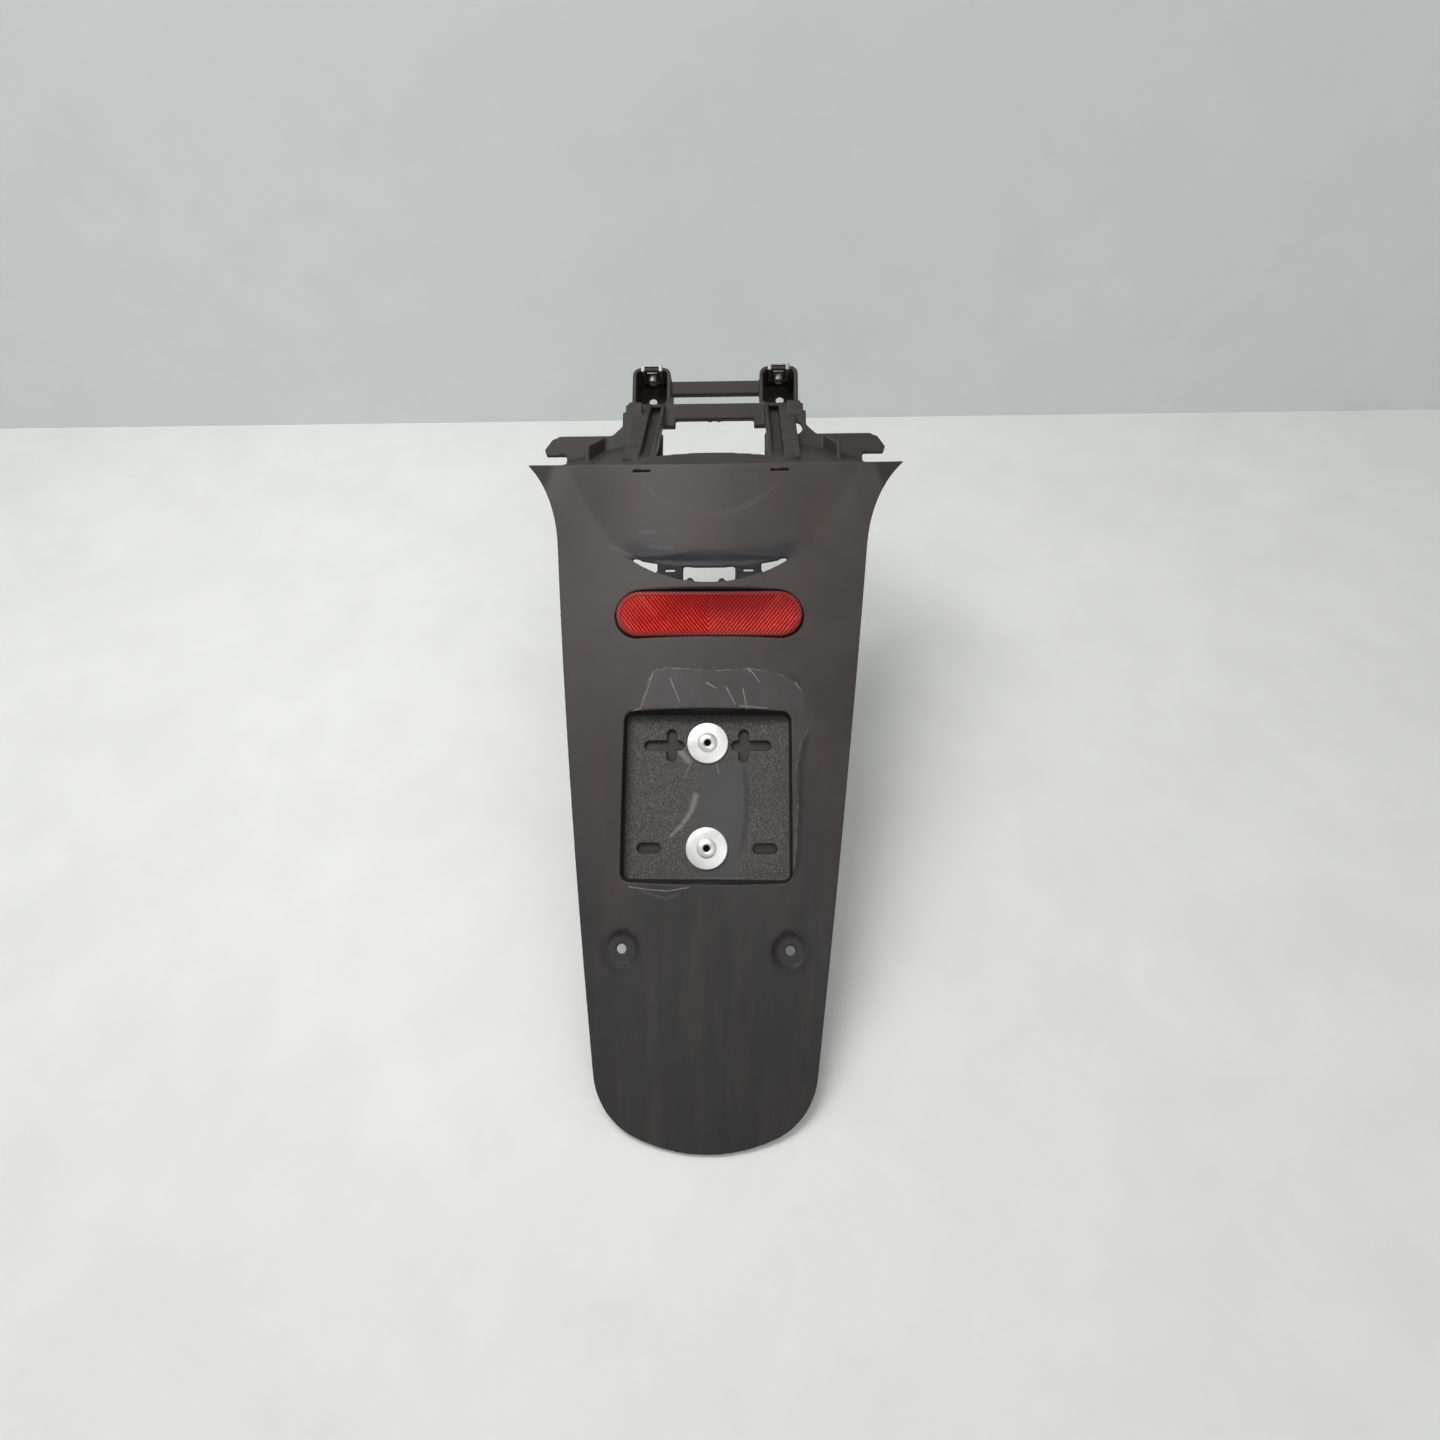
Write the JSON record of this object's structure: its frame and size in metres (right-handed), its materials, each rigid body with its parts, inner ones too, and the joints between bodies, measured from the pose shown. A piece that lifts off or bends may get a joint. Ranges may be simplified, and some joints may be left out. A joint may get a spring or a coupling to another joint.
{
  "type": "rear fender",
  "caption": "Scooter rear fender: a curved plastic tongue with a plate tray, a lamp slot, a red reflector and a top bracket with two fixing pockets.",
  "frame": {"origin": "middle of the two top fixing bores, at the level of the pockets' top faces", "axes": "+Z along the fixing screws, up the tongue; the outer face looks towards -Y; +X to the right as seen from outside"},
  "size_m": [0.2714, 0.0851, 0.5207],
  "materials": {
    "fender_plastic": "weathered matte black",
    "backing_plastic": "matte",
    "red_lens": "prismatic red",
    "base_plastic": "matte",
    "zinc_steel": "zinc plated",
    "washer_metal": "satin",
    "rivet_aluminium": "satin",
    "spring_steel": "dull plated"
  },
  "bodies": {
    "root": {"fender": "fender_plastic", "backing_plate": "backing_plastic", "reflector_lens": "red_lens", "reflector_base": "base_plastic", "reflector_stud_left": "zinc_steel", "reflector_stud_right": "zinc_steel", "reflector_washer_left": "zinc_steel", "reflector_washer_right": "zinc_steel", "reflector_nut_left": "zinc_steel", "reflector_nut_right": "zinc_steel", "washer_upper": "washer_metal", "washer_lower": "washer_metal", "rivet_upper": "rivet_aluminium", "rivet_lower": "rivet_aluminium", "mandrel_upper": "zinc_steel", "mandrel_lower": "zinc_steel", "clip_nut_left": "spring_steel", "clip_nut_right": "spring_steel"}
  },
  "joints": []
}
